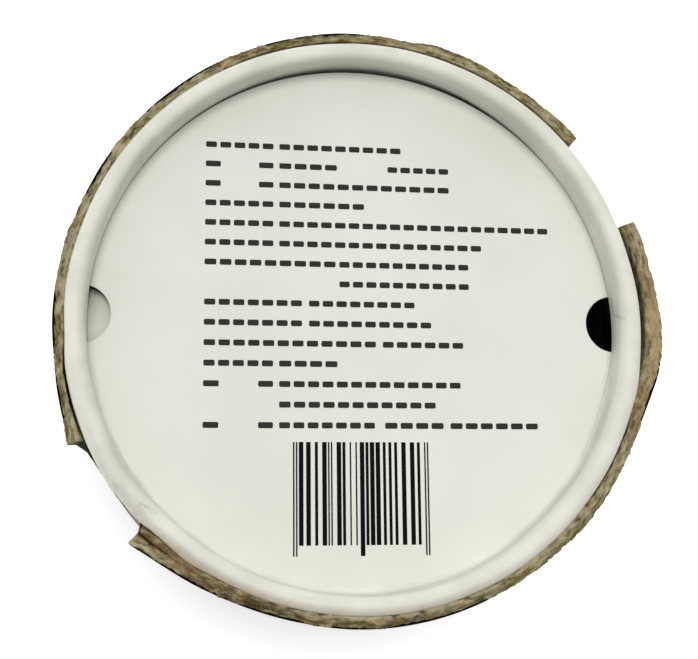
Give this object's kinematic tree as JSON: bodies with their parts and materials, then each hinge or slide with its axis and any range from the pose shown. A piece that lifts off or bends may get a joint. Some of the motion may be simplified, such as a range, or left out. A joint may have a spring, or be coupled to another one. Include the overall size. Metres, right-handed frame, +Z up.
{
  "type": "round tea carton",
  "caption": "Shut round paperboard tea carton resting on its lid, with a rolled white rim round a recessed bottom card and thumb notches in the lid's raw board edge.",
  "frame": {"origin": "middle of the lid's flat outer face, which the carton rests on with its underside up", "axes": "+Z up, from the lid to the underside; +X along the lines printed on the bottom card, through its finger holes; +Y towards the first line"},
  "size_m": [0.1117, 0.1094, 0.058],
  "materials": {
    "lid_wrap": "printed wrap in blue-black with bands of old gold, scuffed at its edge",
    "lid_board": "raw cut edge of layered khaki board, fibrous and mottled",
    "tube_paper": "smooth white paper rolled over the rim, satin, lightly creased",
    "bottom_card": "off-white card with rows of plain black dashes and a block of plain bars",
    "backing_card": "plain grey-green card, matt",
    "inner_dark": "unlit inside of the carton behind the open finger hole"
  },
  "bodies": {
    "root": {"lid_shell": "lid_wrap", "base_tube": "tube_paper", "backing_card": "backing_card", "bottom_card": "bottom_card"}
  },
  "joints": []
}
